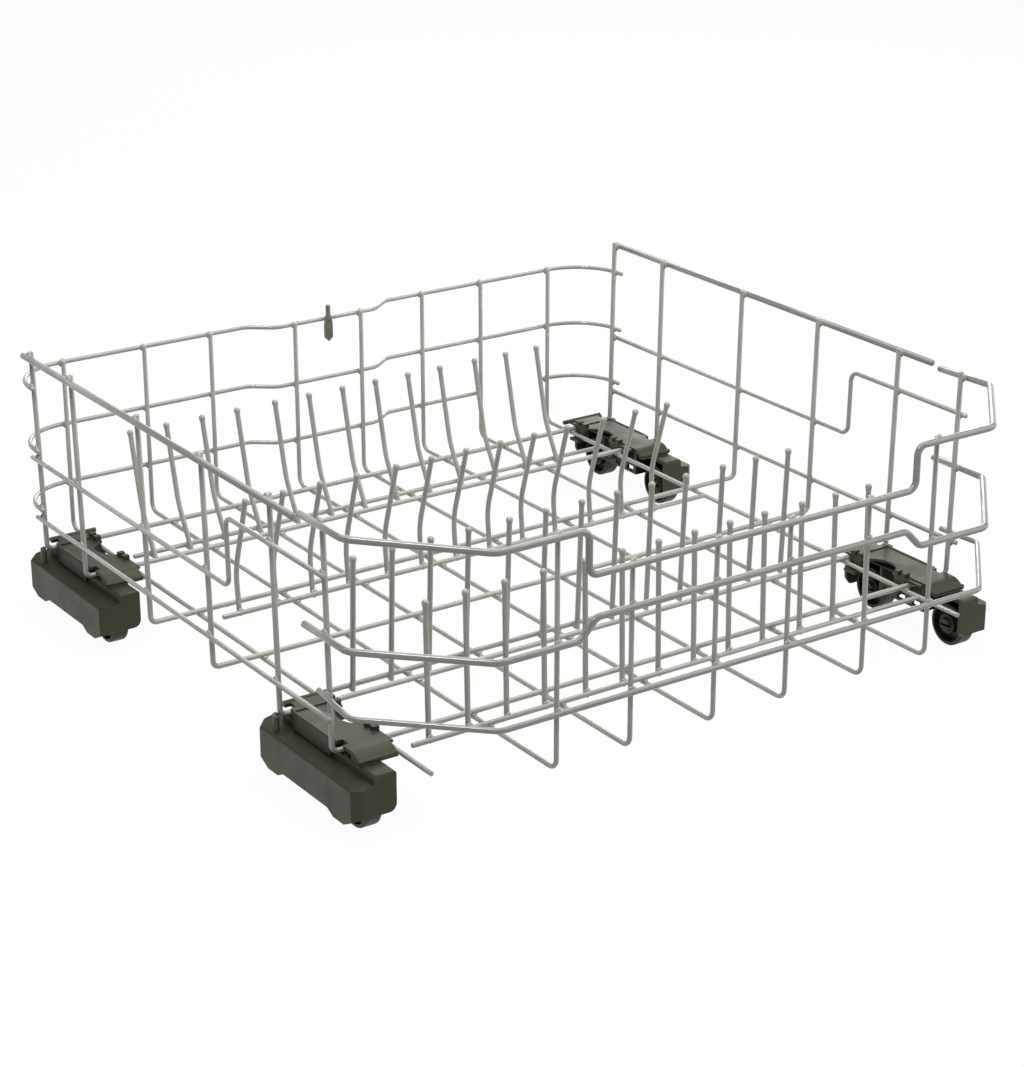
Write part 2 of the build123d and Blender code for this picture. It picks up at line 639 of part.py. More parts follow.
def clip():
    """Plate with bands over the cross wires, rolled lip, outer flange, scooped edge and two latches."""
    plate = box(plate_inner, plate_outer, plate_front, plate_rear, plate_low, plate_top)
    scoop_y = -ROLLER_PAIR / 2
    scoop_r = (SCOOP_DEPTH**2 + (SCOOP_LENGTH / 2)**2) / (2 * SCOOP_DEPTH)
    plate -= Pos(plate_inner + SCOOP_DEPTH - scoop_r, scoop_y, plate_low) * Cylinder(scoop_r, 4 * CLIP_PLATE)
    band_inner = plate_inner + CLIP_LIP_INSET
    band_top = plate_top + CLIP_BAND
    front_band = -ROLLER_PAIR + CLIP_BAND_BACK
    body = plate + box(band_inner, plate_outer, plate_front, front_band, plate_low, band_top)
    body += box(band_inner, plate_outer, -CLIP_BAND_BACK, plate_rear, plate_low, band_top)
    body += lip()
    rim_start = plate_inner - CLIP_RIM_REACH
    rim = Rotation(0, 90, 0) * Cylinder(CLIP_RIM_R, plate_outer - rim_start)
    body += Pos((rim_start + plate_outer) / 2, plate_rear, plate_top) * rim
    flange_inner = deck_edge + CLIP_CLEARANCE
    flange_outer = flange_inner + CLIP_PLATE
    body += box(flange_inner, flange_outer, front_band, -CLIP_BAND_BACK, deck_z - CLIP_FLANGE_DROP, plate_top)
    body += box(plate_outer - CLIP_PLATE, flange_outer, front_band, -CLIP_BAND_BACK, plate_low, plate_top)
    ridge = Rotation(90, 0, 0) * Cylinder(CLIP_RIDGE_R, -CLIP_BAND_BACK - front_band)
    body += Pos(flange_outer - CLIP_RIDGE_R, scoop_y, plate_top - CLIP_RIDGE_R / 2) * ridge
    for y in (0, -ROLLER_PAIR):
        body -= box(plate_outer - SLOT_LENGTH, roller_outer, y - CROSS_D, y + CROSS_D, 0, 2 * plate_top)
    for y in (scoop_y - LATCH_SPREAD, scoop_y + LATCH_SPREAD):
        body += latch(y)
    return body


# Corners of the rack: side and the rear cross wire that the roller assembly hangs on
CORNERS = {
    "rear_left": (-1, cross_y[0]),
    "rear_right": (1, cross_y[0]),
    "front_left": (-1, cross_y[4]),
    "front_right": (1, cross_y[4]),
}


def at_corner(shape, side, y):
    """Right-hand roller piece moved to a corner, mirrored for the left side."""
    placed = Pos(0, y, 0) * shape
    return placed if side > 0 else mirror(placed, about=Plane.YZ)


def rack():
    """All pieces of the rack by node name."""
    pieces = {}
    for number, y in enumerate(cross_y, 1):
        pieces[f"cross_wire_{number}"] = cross_wire(y)
    for number, x in enumerate(length_x, 1):
        pieces[f"length_wire_{number}"] = length_wire(x)
    pieces["back_wire_top"] = back_wire(BACK_TOP_Z)
    pieces["back_wire_middle"] = back_wire(BACK_MIDDLE_Z)
    pieces["back_wire_low"] = back_low_wire()
    pieces["back_wire_corner"] = back_corner_wire()
    for name, side in (("left", -1), ("right", 1)):
        pieces[f"side_top_wire_{name}"] = side_top_wire(side)
        pieces[f"side_middle_wire_{name}"] = side_middle_wire(side)
        pieces[f"side_low_wire_{name}"] = side_low_wire(side)
    pieces["front_rail_top"] = front_top_rail()
    pieces["front_rail_middle"] = front_middle_rail()
    pieces["front_rail_bottom"] = front_bottom_rail()
    rows = zip(row_cross_y, ROW_BEHIND, ROW_HEIGHTS, ROW_LEAN_ANGLES)
    for number, row in enumerate(rows, start=1):
        pieces[f"tine_row_{number}"] = tine_row(*row)
    pieces["back_catch"] = catch()
    shell = housing()
    holder = clip()
    for corner, (side, y) in CORNERS.items():
        pieces[f"roller_housing_{corner}"] = at_corner(shell, side, y)
        pieces[f"roller_clip_{corner}"] = at_corner(holder, side, y)
        for place, wheel_y in zip(("back", "fore"), wheel_ys):
            turned = Pos(wheel_outer, wheel_y, wheel_r) * wheel()
            pieces[f"wheel_{corner}_{place}"] = at_corner(turned, side, y)
    return pieces


os.makedirs("parts", exist_ok=True)
for node, solid in rack().items():
    export_step(solid, f"parts/{node}.step")
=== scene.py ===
"""Looks of a lower dishwasher rack: coated wires, weld beads, moulded rollers, floor, light and camera."""

import json
import logging
import math
import random
from dataclasses import dataclass
from enum import Enum

import bpy
from mathutils import Matrix, Vector


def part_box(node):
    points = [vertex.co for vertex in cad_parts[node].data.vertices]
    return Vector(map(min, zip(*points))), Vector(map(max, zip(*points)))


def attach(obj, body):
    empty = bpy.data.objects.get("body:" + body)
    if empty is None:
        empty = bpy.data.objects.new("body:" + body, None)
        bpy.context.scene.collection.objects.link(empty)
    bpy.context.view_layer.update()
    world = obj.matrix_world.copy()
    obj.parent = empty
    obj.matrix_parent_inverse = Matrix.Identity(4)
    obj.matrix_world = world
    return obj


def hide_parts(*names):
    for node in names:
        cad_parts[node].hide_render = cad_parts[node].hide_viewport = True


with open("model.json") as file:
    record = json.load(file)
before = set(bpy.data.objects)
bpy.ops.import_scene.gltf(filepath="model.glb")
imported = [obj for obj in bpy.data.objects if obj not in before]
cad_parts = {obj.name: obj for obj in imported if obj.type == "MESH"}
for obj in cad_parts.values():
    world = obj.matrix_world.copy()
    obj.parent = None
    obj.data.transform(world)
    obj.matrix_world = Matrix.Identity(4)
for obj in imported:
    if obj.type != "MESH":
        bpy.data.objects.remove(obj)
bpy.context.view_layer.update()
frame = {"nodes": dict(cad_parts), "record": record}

Piece = bpy.types.Object
Tree = bpy.types.NodeTree
Socket = bpy.types.NodeSocket
Pair = tuple[float, float]
Triple = tuple[float, float, float]

LOG = logging.getLogger("dishwasher_rack")
MM = 0.001
MERGE_DISTANCE = 0.002 * MM
BASKET = "basket"
CROSS_WIRES = range(1, 7)
LENGTH_WIRES = range(1, 9)
POSTED_WIRES = range(2, 8)
X_WAY = Vector((1, 0, 0))
Y_WAY = Vector((0, 1, 0))
Z_WAY = Vector((0, 0, 1))
WHITE = (1.0, 1.0, 1.0)
OLIVE = (0.95, 1.0, 0.7)


class Slot(Enum):
    """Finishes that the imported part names."""

    WIRE = "coated_wire"
    RAIL = "coated_rail"
    TINE = "coated_tine"
    CATCH = "bare_catch"
    COVER = "roller_cover"
    CLIP = "roller_clip"
    WHEEL = "roller_wheel"


class Side(Enum):
    """The two side walls, by the sign of X."""

    LEFT = -1
    RIGHT = 1


def only(piece: Piece) -> None:
    """Select one object alone and make it active.

    Args:
        piece: The object that the next operators act on.
    """
    bpy.ops.object.select_all(action="DESELECT")
    piece.select_set(True)
    bpy.context.view_layer.objects.active = piece


def dress(piece: Piece, material: bpy.types.Material, body: str) -> None:
    """Give a finished piece its material and the body that carries it.

    Args:
        piece: The finished piece.
        material: Its material.
        body: The moving body that it rides on.
    """
    piece.data.materials.clear()
    piece.data.materials.append(material)
    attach(piece, body)
    LOG.info("%s: %d faces on %s", piece.name, len(piece.data.polygons), body)


def merged_copy(node: str, name: str) -> Piece:
    """Copy a solid of the frame, join its loose triangles and drop their stored normals.

    Args:
        node: Name of the solid.
        name: Name of the new piece.

    Returns:
        A new object with a mesh of its own, at the origin.
    """
    piece = bpy.data.objects.new(name, frame["nodes"][node].data.copy())
    bpy.context.scene.collection.objects.link(piece)
    only(piece)
    bpy.ops.object.mode_set(mode="EDIT")
    bpy.ops.mesh.select_all(action="SELECT")
    bpy.ops.mesh.remove_doubles(threshold=MERGE_DISTANCE)
    bpy.ops.object.mode_set(mode="OBJECT")
    bpy.ops.mesh.customdata_custom_splitnormals_clear()
    return piece


def middle(node: str, axis: int) -> float:
    """Middle of a solid's box along one axis.

    Args:
        node: Name of the solid.
        axis: 0, 1 or 2 for X, Y or Z.

    Returns:
        The coordinate in metres.
    """
    low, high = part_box(node)
    return (low[axis] + high[axis]) / 2


def noise(tree: Tree, coords: Socket, scale: float, detail: float) -> Socket:
    """Add a noise texture that reads the given coordinates.

    Args:
        tree: The tree that gets the node.
        coords: Socket with the coordinates.
        scale: Scale of the noise, per metre.
        detail: Number of octaves.

    Returns:
        Socket with the noise, from 0 to 1.
    """
    node = tree.nodes.new("ShaderNodeTexNoise")
    node.inputs["Scale"].default_value = scale
    node.inputs["Detail"].default_value = detail
    tree.links.new(coords, node.inputs["Vector"])
    return node.outputs["Fac"]


def spread(tree: Tree, value: Socket, before: Pair, after: Pair) -> Socket:
    """Map a value from one range to another, with clamped ends.

    Args:
        tree: The tree that gets the node.
        value: Socket to map.
        before: The range that it comes from.
        after: The range that it goes to.

    Returns:
        Socket with the mapped value.
    """
    node = tree.nodes.new("ShaderNodeMapRange")
    for label, number in zip(("From Min", "From Max", "To Min", "To Max"), (*before, *after)):
        node.inputs[label].default_value = number
    tree.links.new(value, node.inputs["Value"])
    return node.outputs["Result"]


def mixed_colour(tree: Tree, mask: Socket, first: Socket, second: Socket) -> Socket:
    """Mix two colours by a mask.

    Args:
        tree: The tree that gets the node.
        mask: Socket from 0, the first colour, to 1, the second.
        first: Socket with the first colour.
        second: Socket with the second colour.

    Returns:
        Socket with the mixed colour.
    """
    node = tree.nodes.new("ShaderNodeMix")
    node.data_type = "RGBA"
    tree.links.new(mask, node.inputs["Factor"])
    tree.links.new(first, node.inputs["A"])
    tree.links.new(second, node.inputs["B"])
    return node.outputs["Result"]


@dataclass(frozen=True)
class Effect:
    """A surface effect: a tone with clouds of another, a gloss that varies with them and a fine relief.

    Scales are per metre. A span is the range of cloud values that a change runs over.
    """

    name: str
    cloud_scale: float
    cloud_detail: float
    relief_scale: float
    tone_span: Pair
    tone_share: Pair
    roughness: Pair
    relief_detail: float = 2.0
    gloss_span: Pair = (0.3, 0.7)

    def group(self) -> Tree:
        """Build the effect's node group.

        Returns:
            The group, with the two tones as inputs and a colour, a roughness and a height as outputs.
        """
        group = bpy.data.node_groups.new(self.name, "ShaderNodeTree")
        for label in ("Tone", "Clouds"):
            group.interface.new_socket(name=label, in_out="INPUT", socket_type="NodeSocketColor")
        group.interface.new_socket(name="Colour", in_out="OUTPUT", socket_type="NodeSocketColor")
        for label in ("Roughness", "Height"):
            group.interface.new_socket(name=label, in_out="OUTPUT", socket_type="NodeSocketFloat")
        given = group.nodes.new("NodeGroupInput").outputs
        put = group.nodes.new("NodeGroupOutput").inputs
        coords = group.nodes.new("ShaderNodeTexCoord").outputs["Object"]
        cloud = noise(group, coords, self.cloud_scale, self.cloud_detail)
        mask = spread(group, cloud, self.tone_span, self.tone_share)
        group.links.new(mixed_colour(group, mask, given["Tone"], given["Clouds"]), put["Colour"])
        group.links.new(spread(group, cloud, self.gloss_span, self.roughness), put["Roughness"])
        group.links.new(noise(group, coords, self.relief_scale, self.relief_detail), put["Height"])
        return group


# Dipped nylon coat with a faint orange peel
DIPPED_COAT = Effect(
    name="dipped_coat",
    cloud_scale=45,
    cloud_detail=3,
    relief_scale=650,
    tone_span=(0.42, 0.72),
    tone_share=(0, 1),
    roughness=(0.07, 0.14),
)

# Moulded plastic with a fine spark-eroded grain and pale scuffs
MOULDED_GRAIN = Effect(
    name="moulded_grain",
    cloud_scale=60,
    cloud_detail=4,
    relief_scale=2600,
    tone_span=(0.5, 0.85),
    tone_share=(0, 0.6),
    roughness=(0.4, 0.55),
)


@dataclass(frozen=True)
class Finish:
    """A surface finish: its two tones, the strength and depth of its relief, and its gloss."""

    name: str
    effect: Effect
    tone: Triple
    clouds: Triple
    relief: float
    depth: float
    specular: float
    gloss_tint: Triple = WHITE

    def material(self, group: Tree) -> bpy.types.Material:
        """Make the material.

        Args:
            group: The node group of the finish's effect.

        Returns:
            A material whose shader reads the group's outputs.
        """
        material = bpy.data.materials.new(self.name)
        material.use_nodes = True
        tree = material.node_tree
        shader = tree.nodes["Principled BSDF"]
        shader.inputs["Specular IOR Level"].default_value = self.specular
        shader.inputs["Specular Tint"].default_value = (*self.gloss_tint, 1)
        effect = tree.nodes.new("ShaderNodeGroup")
        effect.node_tree = group
        effect.inputs["Tone"].default_value = (*self.tone, 1)
        effect.inputs["Clouds"].default_value = (*self.clouds, 1)
        bump = tree.nodes.new("ShaderNodeBump")
        bump.inputs["Strength"].default_value = self.relief
        bump.inputs["Distance"].default_value = self.depth
        tree.links.new(effect.outputs["Height"], bump.inputs["Height"])
        tree.links.new(effect.outputs["Colour"], shader.inputs["Base Color"])
        tree.links.new(effect.outputs["Roughness"], shader.inputs["Roughness"])
        tree.links.new(bump.outputs["Normal"], shader.inputs["Normal"])
        return material


COATS = {
    Slot.WIRE: Finish(
        name="grey_wire_coat",
        effect=DIPPED_COAT,
        tone=(0.345, 0.352, 0.311),
        clouds=(0.298, 0.305, 0.268),
        relief=0.1,
        depth=0.1 * MM,
        specular=0.8,
    ),
    # Painted shade: the rails share the wires' nylon coat, but this copy is toned darker so that the rails'
    # bodies show painted dark reflections
    Slot.RAIL: Finish(
        name="rail_coat_painted_shade",
        effect=DIPPED_COAT,
        tone=(0.242, 0.247, 0.221),
        clouds=(0.211, 0.216, 0.192),
        relief=0.08,
        depth=0.1 * MM,
        specular=0.8,
    ),
    Slot.TINE: Finish(
        name="grey_tine_coat",
        effect=DIPPED_COAT,
        tone=(0.345, 0.352, 0.311),
        clouds=(0.298, 0.305, 0.268),
        relief=0.1,
        depth=0.1 * MM,
        specular=0.8,
    ),
    Slot.CATCH: Finish(
        name="brown_catch_coat",
        effect=DIPPED_COAT,
        tone=(0.13, 0.115, 0.09),
        clouds=(0.2, 0.19, 0.165),
        relief=0.2,
        depth=0.15 * MM,
        specular=0.5,
    ),
}

PLASTICS = {
    Slot.COVER: Finish(
        name="charcoal_cover",
        effect=MOULDED_GRAIN,
        tone=(0.019, 0.0215, 0.0125),
        clouds=(0.027, 0.0305, 0.018),
        relief=0.3,
        depth=0.08 * MM,
        specular=0.45,
        gloss_tint=OLIVE,
    ),
    Slot.CLIP: Finish(
        name="charcoal_clip",
        effect=MOULDED_GRAIN,
        tone=(0.0265, 0.0275, 0.017),
        clouds=(0.035, 0.036, 0.0235),
        relief=0.25,
        depth=0.06 * MM,
        specular=0.45,
        gloss_tint=OLIVE,
    ),
    Slot.WHEEL: Finish(
        name="charcoal_wheel",
        effect=MOULDED_GRAIN,
        tone=(0.022, 0.024, 0.019),
        clouds=(0.034, 0.036, 0.029),
        relief=0.2,
        depth=0.05 * MM,
        specular=0.35,
        gloss_tint=OLIVE,
    ),
}


@dataclass
class Finishes:
    """All materials of the rack, one for each slot."""

    made: dict[Slot, bpy.types.Material]

    @classmethod
    def make(cls) -> "Finishes":
        """Build the two effects and the materials that use them.

        Returns:
            The materials by slot.
        """
        groups = {effect: effect.group() for effect in (DIPPED_COAT, MOULDED_GRAIN)}
        finishes = COATS | PLASTICS
        return cls({slot: finish.material(groups[finish.effect]) for slot, finish in finishes.items()})


@dataclass
class CoatedWires:
    """Every bent wire, rail and tine, with its triangles joined and its round shaded smooth."""

    finishes: Finishes
    smooth_angle: float = math.radians(50)

    def build(self) -> None:
        """Make a smooth piece for each coated solid."""
        slots = {row["node"]: Slot(row["material_slot"]) for row in frame["record"]["subparts"]}
        for node in sorted(frame["nodes"]):
            slot = slots[node]
            if slot in COATS:
                piece = merged_copy(node, "coated_" + node)
                bpy.ops.object.shade_smooth_by_angle(angle=self.smooth_angle)
                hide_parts(node)
                dress(piece, self.finishes.made[slot], BASKET)


@dataclass(frozen=True)
class Weld:
    """One crossing of two wires: the point where they touch, the two directions and the wire's size."""

    place: Vector
    first: Vector
    second: Vector
    size: float


@dataclass
class WeldBeads:
    """Beads of coating that fill the corners where wires cross, modelled once and copied to each weld."""

    finishes: Finishes
    reach: float = 3.3 * MM
    web: float = 2.85 * MM
    rise: float = 1.5 * MM
    on_axis: float = 0.01 * MM
    segments: int = 8
    rings: int = 6
    vary: float = 0.12
    seed: int = 5
    thin: float = 3.4 * MM
    thick: float = 4.5 * MM
    bottom: float = 3.8 * MM
    top_rail_z: float = 189.7 * MM
    bottom_rail_z: float = 77.6 * MM
    top_arm_z: Pair = (191.7 * MM, 186.1 * MM)
    bottom_arm_z: Pair = (81.6 * MM, 72.9 * MM)
    base_cross_wires: tuple[int, ...] = (2, 3, 5, 6)
    base_behind: tuple[float, ...] = (15 * MM, -18.5 * MM, 14 * MM, -19.4 * MM)
    base_d: float = 3.4 * MM
    tine_counts: tuple[int, ...] = (4, 6, 3)
    first_tine_in: float = 21.3 * MM
    pitch_share: float = 0.1357
    gap_share: float = 0.149

    def bead(self) -> Piece:
        """Model one bead: a flattened ball, drawn out along both wires and webbed between them.

        Returns:
            The bead at the origin, flat in the plane of the two wires.
        """
        bpy.ops.object.select_all(action="DESELECT")
        bpy.ops.mesh.primitive_uv_sphere_add(segments=self.segments, ring_count=self.rings, radius=self.web)
        bead = bpy.context.object
        bpy.ops.object.mode_set(mode="EDIT")
        bpy.ops.mesh.select_all(action="SELECT")
        bpy.ops.transform.resize(value=(1, 1, self.rise / self.web))
        stretch = self.reach / self.web
        for axis, value in enumerate(((stretch, 1, 1), (1, stretch, 1))):
            bpy.ops.mesh.select_all(action="DESELECT")
            bpy.ops.object.mode_set(mode="OBJECT")
            for vertex in bead.data.vertices:
                along, beside = abs(vertex.co[axis]), abs(vertex.co[1 - axis])
                vertex.select = beside < self.on_axis and along > self.rise
            bpy.ops.object.mode_set(mode="EDIT")
            bpy.ops.transform.resize(value=value)
        bpy.ops.object.mode_set(mode="OBJECT")
        bpy.ops.object.shade_smooth()
        return bead

    def cross_places(self) -> list[float]:
        """Places of the cross wires along Y."""
        return [middle(f"cross_wire_{number}", 1) for number in CROSS_WIRES]

    def base_places(self) -> list[float]:
        """Places of the tines' base wires along Y."""
        rows = zip(self.base_cross_wires, self.base_behind)
        return [middle(f"cross_wire_{number}", 1) + behind for number, behind in rows]

    def tine_places(self) -> list[float]:
        """Place the tines along X, in their three groups.

        Returns:
            The places from left to right.
        """
        outer = middle("length_wire_8", 0)
        places = []
        x = self.first_tine_in - outer
        for count in self.tine_counts:
            places += [x + self.pitch_share * outer * number for number in range(count)]
            x = places[-1] + self.gap_share * outer
        return places

    def floor_welds(self) -> list[Weld]:
        """Find the crossings of the cross wires, and of the tines' base wires, with the lengthwise wires.

        Returns:
            The floor's welds.
        """
        lines = [(y, LENGTH_WIRES) for y in self.cross_places()]
        lines += [(y, POSTED_WIRES) for y in self.base_places()]
        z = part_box("cross_wire_1")[0].z
        welds = []
        for y, numbers in lines:
            for number in numbers:
                place = Vector((middle(f"length_wire_{number}", 0), y, z))
                welds.append(Weld(place, X_WAY, Y_WAY, self.thin))
        return welds

    def tine_welds(self) -> list[Weld]:
        """Find the tines' feet, on the side of each base wire that faces its cross wire.

        Returns:
            The tines' welds.
        """
        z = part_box("cross_wire_1")[0].z + self.base_d / 2
        sides = [math.copysign(self.base_d / 2, behind) for behind in self.base_behind]
        lines = [y - side for y, side in zip(self.base_places(), sides)]
        places = [Vector((x, y, z)) for y in lines for x in self.tine_places()]
        return [Weld(place, X_WAY, Z_WAY, self.thin) for place in places]

    def back_welds(self) -> list[Weld]:
        """Find where the back wires cross the lengthwise wires' back posts.

        Returns:
            The back wall's welds.
        """
        welds = []
        for number in LENGTH_WIRES:
            x = middle(f"length_wire_{number}", 0)
            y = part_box(f"length_wire_{number}")[1].y
            for wire in ("top", "middle", "corner" if number == LENGTH_WIRES[-1] else "low"):
                place = Vector((x, y, middle(f"back_wire_{wire}", 2)))
                welds.append(Weld(place, X_WAY, Z_WAY, self.thin))
        return welds

    def front_welds(self) -> list[Weld]:
        """Find where the front rails cross the lengthwise wires' front posts.

        Returns:
            The front's welds.
        """
        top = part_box("front_rail_top")
        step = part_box("front_rail_middle")
        half = self.thick / 2
        welds = []
        for number in POSTED_WIRES:
            x = middle(f"length_wire_{number}", 0)
            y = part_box(f"length_wire_{number}")[0].y
            outer = number in (POSTED_WIRES[0], POSTED_WIRES[-1])
            heights = (
                self.top_rail_z if outer else top[0].z + half,
                step[0].z + half if outer else step[1].z - half,
                self.bottom_rail_z,
            )
            welds += [Weld(Vector((x, y, z)), X_WAY, Z_WAY, self.thick) for z in heights]
        return welds

    def side_welds(self, side: Side) -> list[Weld]:
        """Find where a side's wires, the back wires' ends and the front rails' arms cross the posts.

        Args:
            side: Which wall.

        Returns:
            The wall's welds.
        """
        rows = self.cross_places()
        name = side.name.lower()
        low, step, top = (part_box(f"side_{kind}_wire_{name}") for kind in ("low", "middle", "top"))
        outer = 1 if side is Side.RIGHT else 0
        inner = 1 - outer
        width = low[1].x - low[0].x
        spots = [((low[inner].x, y, middle(f"side_low_wire_{name}", 2)), self.thin) for y in rows]
        spots += [((step[inner].x, y, step[0].z + width / 2), self.thin) for y in rows[:4]]
        step_x = step[outer].x - side.value * width
        spots += [((step_x, y, step[1].z - width / 2), self.thin) for y in rows[4:]]
        spots += [((top[inner].x, y, middle(f"side_top_wire_{name}", 2)), self.thick) for y in rows[:5]]
        for wire in ("top", "middle", "corner" if side is Side.RIGHT else "low"):
            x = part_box(f"back_wire_{wire}")[outer].x - side.value * width
            spots.append(((x, rows[0], middle(f"back_wire_{wire}", 2)), self.thin))
        arms = (
            ("top", self.top_arm_z[outer], self.thick),
            ("bottom", self.bottom_arm_z[outer], self.bottom),
            ("middle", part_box("front_rail_middle")[0].z + self.thick / 2, self.thick),
        )
        for rail, z, size in arms:
            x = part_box(f"front_rail_{rail}")[outer].x - side.value * size
            spots.append(((x, rows[5], z), size))
        return [Weld(Vector(place), Y_WAY, Z_WAY, size) for place, size in spots]

    def copies(self, name: str, bead: Piece, welds: list[Weld], dice: random.Random) -> None:
        """Copy the bead to a set of welds and join the copies in one piece.

        Args:
            name: Name of the piece.
            bead: The modelled bead.
            welds: Where the copies go.
            dice: Seeded source of the small differences in size.
        """
        bpy.ops.object.select_all(action="DESELECT")
        made = []
        for weld in welds:
            copy = bpy.data.objects.new(name, bead.data.copy())
            bpy.context.scene.collection.objects.link(copy)
            normal = weld.first.cross(weld.second)
            turn = Matrix((weld.first, weld.second, normal)).transposed().to_4x4()
            scale = math.sqrt(weld.size / self.thin) * (1 + dice.uniform(-self.vary, self.vary))
            copy.matrix_world = Matrix.Translation(weld.place) @ turn @ Matrix.Scale(scale, 4)
            copy.select_set(True)
            made.append(copy)
        bpy.context.view_layer.objects.active = made[0]
        bpy.ops.object.transform_apply(location=True, rotation=True, scale=True)
        bpy.ops.object.join()
        piece = bpy.context.object
        piece.name = name
        dress(piece, self.finishes.made[Slot.WIRE], BASKET)

    def build(self) -> None:
        """Copy the bead to every weld of the rack."""
        bead = self.bead()
        dice = random.Random(self.seed)
        walls = {
            "floor": self.floor_welds(),
            "tines": self.tine_welds(),
            "back": self.back_welds(),
            "front": self.front_welds(),
            "left": self.side_welds(Side.LEFT),
            "right": self.side_welds(Side.RIGHT),
        }
        for wall, welds in walls.items():
            self.copies(f"weld_beads_{wall}", bead, welds, dice)
        bpy.data.objects.remove(bead)


@dataclass
class Rollers:
    """Four roller assemblies: moulded cover, clip and two wheels each, with softened edges."""

    finishes: Finishes
    edge: float = 0.35 * MM
    edge_segments: int = 2
    flat_angle: float = math.radians(1)
    edge_angle: float = math.radians(35)
    smooth_angle: float = math.radians(40)

    def moulded(self, node: str, name: str) -> Piece:
        """Copy a moulded solid and round its edges.

        Args:
            node: Name of the solid.
            name: Name of the new piece.

        Returns:
            The rounded piece.
        """
        piece = merged_copy(node, name)
        bpy.ops.object.mode_set(mode="EDIT")
        bpy.ops.mesh.select_all(action="SELECT")
        bpy.ops.mesh.dissolve_limited(angle_limit=self.flat_angle)
        bpy.ops.object.mode_set(mode="OBJECT")
        bevel = piece.modifiers.new("moulded_edge", "BEVEL")
        bevel.width = self.edge
        bevel.segments = self.edge_segments
        bevel.limit_method = "ANGLE"
        bevel.angle_limit = self.edge_angle
        bevel.use_clamp_overlap = True
        bpy.ops.object.modifier_apply(modifier=bevel.name)
        bpy.ops.object.shade_smooth_by_angle(angle=self.smooth_angle)
        even = piece.modifiers.new("even_normals", "WEIGHTED_NORMAL")
        even.keep_sharp = True
        bpy.ops.object.modifier_apply(modifier=even.name)
        return piece

    def add(self, node: str, slot: Slot, body: str) -> None:
        """Make one moulded piece and dress it.

        Args:
            node: Name of the solid that it stands for.
            slot: The slot of its finish.
            body: The body that it rides on.
        """
        piece = self.moulded(node, "moulded_" + node)
        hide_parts(node)
        dress(piece, self.finishes.made[slot], body)

    def build(self) -> None:
        """Make the cover, clip and wheels of each corner."""
        for end in ("rear", "front"):
            for side in Side:
                corner = f"{end}_{side.name.lower()}"
                self.add(f"roller_housing_{corner}", Slot.COVER, BASKET)
                self.add(f"roller_clip_{corner}", Slot.CLIP, BASKET)
                for place in ("back", "fore"):
                    wheel = f"wheel_{corner}_{place}"
                    self.add(wheel, Slot.WHEEL, wheel)


@dataclass(frozen=True)
class Lamp:
    """A soft lamp: where it hangs, the length and width of its screen, and its power in watts."""

    name: str
    place: Triple
    size: Pair
    power: float

    def hang(self, target: Triple) -> None:
        """Add the lamp.

        Args:
            target: The point that it faces.
        """
        light = bpy.data.lights.new(self.name, "AREA")
        light.shape = "RECTANGLE"
        light.size, light.size_y = self.size
        light.energy = self.power
        lamp = bpy.data.objects.new(self.name, light)
        bpy.context.scene.collection.objects.link(lamp)
        lamp.location = self.place
        aim = Vector(target) - Vector(self.place)
        lamp.rotation_euler = aim.to_track_quat("-Z", "Y").to_euler()


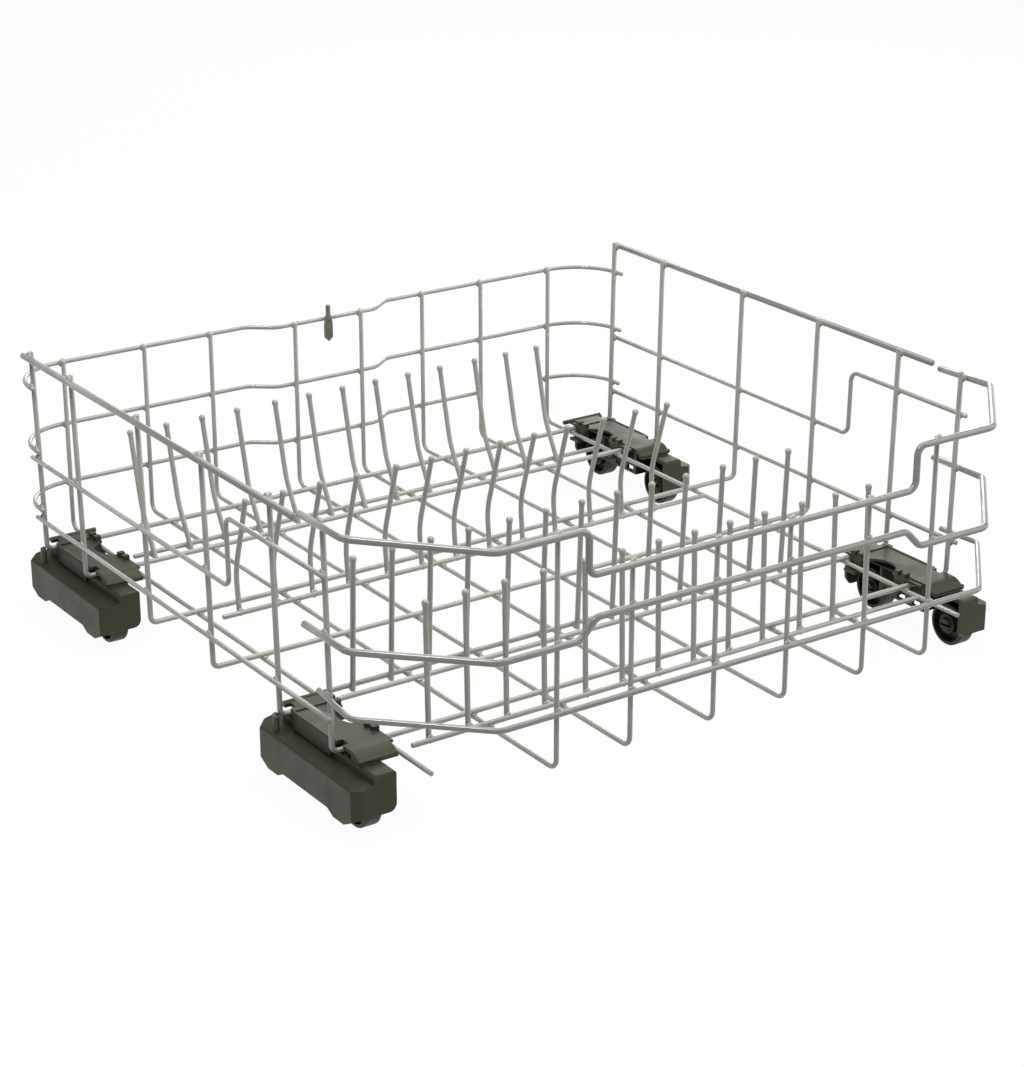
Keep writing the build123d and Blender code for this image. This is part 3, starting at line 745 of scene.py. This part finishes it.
@dataclass
class Studio:
    """Pale floor, soft lamps, white world and the camera."""

    floor_size: float = 24.0
    floor_drop: float = 0.02 * MM
    floor_colour: float = 0.45
    glow: float = 0.94
    glow_strength: float = 1.03
    world_light: float = 0.1
    horizon: Pair = (0.15, 0.42)
    target: Triple = (0.0, 0.0, 0.1)
    lamps: tuple[Lamp, ...] = (
        Lamp("key_lamp", (2.0, -1.2, 1.3), (2.4, 2.4), 33),
        Lamp("top_lamp", (0.0, 0.0, 1.45), (2.2, 2.2), 34),
        Lamp("glint_lamp", (-0.6, -0.28, 1.27), (0.25, 0.25), 4),
        Lamp("back_lamp", (1.35, 1.7, 0.9), (1.2, 0.8), 12),
    )
    camera_place: Triple = (-0.9820, -1.4376, 0.7614)
    camera_turn: Triple = (68.42, 0.0, -34.31)
    lens: float = 95.1
    sensor: float = 36.0
    shift: Pair = (-0.0005, 0.0006)
    far: float = 100.0

    def seen_directly(self, tree: Tree) -> Socket:
        """Mask of rays from the camera, or from gloss and glass.

        Args:
            tree: The tree that gets the nodes.

        Returns:
            Socket that is 1 for such rays and 0 for the rest.
        """
        path = tree.nodes.new("ShaderNodeLightPath")
        total = path.outputs["Is Camera Ray"]
        for label in ("Is Glossy Ray", "Is Transmission Ray"):
            node = tree.nodes.new("ShaderNodeMath")
            node.operation = "MAXIMUM"
            tree.links.new(total, node.inputs[0])
            tree.links.new(path.outputs[label], node.inputs[1])
            total = node.outputs[0]
        return total

    def show(self, tree: Tree, share: Socket, lit: Socket, seen: Socket) -> Socket:
        """Mix in what is seen directly.

        Args:
            tree: The tree that gets the nodes.
            share: Socket with the share of it that such rays see.
            lit: Shader that all other rays meet.
            seen: Shader that is seen directly.

        Returns:
            The mixed shader.
        """
        amount = tree.nodes.new("ShaderNodeMath")
        amount.operation = "MULTIPLY"
        tree.links.new(self.seen_directly(tree), amount.inputs[0])
        tree.links.new(share, amount.inputs[1])
        mix = tree.nodes.new("ShaderNodeMixShader")
        tree.links.new(amount.outputs[0], mix.inputs["Fac"])
        tree.links.new(lit, mix.inputs[1])
        tree.links.new(seen, mix.inputs[2])
        return mix.outputs["Shader"]

    def floor(self) -> None:
        """Add the floor, pale where it is seen and matte to the light."""
        bpy.ops.object.select_all(action="DESELECT")
        bpy.ops.mesh.primitive_plane_add(size=self.floor_size, location=(0, 0, -self.floor_drop))
        plane = bpy.context.object
        plane.name = "studio_floor"
        material = bpy.data.materials.new("pale_floor")
        material.use_nodes = True
        tree = material.node_tree
        shader = tree.nodes["Principled BSDF"]
        shader.inputs["Base Color"].default_value = (*(self.floor_colour,) * 3, 1)
        shader.inputs["Roughness"].default_value = 1.0
        shader.inputs["Specular IOR Level"].default_value = 0.0
        bright = tree.nodes.new("ShaderNodeEmission")
        bright.inputs["Strength"].default_value = self.glow_strength
        share = tree.nodes.new("ShaderNodeValue").outputs["Value"]
        share.default_value = self.glow
        mixed = self.show(tree, share, shader.outputs["BSDF"], bright.outputs["Emission"])
        tree.links.new(mixed, tree.nodes["Material Output"].inputs["Surface"])
        plane.data.materials.append(material)

    def world(self) -> None:
        """Set a world that lights at a plain level and is white near the horizon where it is seen."""
        world = bpy.data.worlds.new("studio_world")
        bpy.context.scene.world = world
        world.use_nodes = True
        tree = world.node_tree
        light = tree.nodes["Background"]
        light.inputs["Strength"].default_value = self.world_light
        bright = tree.nodes.new("ShaderNodeBackground")
        bright.inputs["Strength"].default_value = 1.0
        for node in (light, bright):
            node.inputs["Color"].default_value = (*WHITE, 1)
        split = tree.nodes.new("ShaderNodeSeparateXYZ")
        way = tree.nodes.new("ShaderNodeTexCoord").outputs["Generated"]
        tree.links.new(way, split.inputs["Vector"])
        low_sky = spread(tree, split.outputs["Z"], self.horizon, (1, 0))
        mixed = self.show(tree, low_sky, light.outputs["Background"], bright.outputs["Background"])
        tree.links.new(mixed, tree.nodes["World Output"].inputs["Surface"])

    def camera(self) -> None:
        """Add the camera at the viewing angle that shows the rack's front and left side."""
        data = bpy.data.cameras.new("camera")
        data.sensor_fit = "HORIZONTAL"
        data.sensor_width = self.sensor
        data.lens = self.lens
        data.shift_x, data.shift_y = self.shift
        data.clip_end = self.far
        camera = bpy.data.objects.new("camera", data)
        bpy.context.scene.collection.objects.link(camera)
        camera.location = self.camera_place
        camera.rotation_euler = [math.radians(angle) for angle in self.camera_turn]
        bpy.context.scene.camera = camera

    def build(self) -> None:
        """Set the whole studio."""
        bpy.context.scene.view_settings.view_transform = "Standard"
        self.floor()
        self.world()
        for lamp in self.lamps:
            lamp.hang(self.target)
        self.camera()


def main() -> None:
    """Build the rack's pieces and the studio in order."""
    logging.basicConfig(level=logging.INFO, format="%(name)s %(message)s")
    finishes = Finishes.make()
    CoatedWires(finishes).build()
    WeldBeads(finishes).build()
    Rollers(finishes).build()
    Studio().build()


if __name__ == "__main__":
    main()
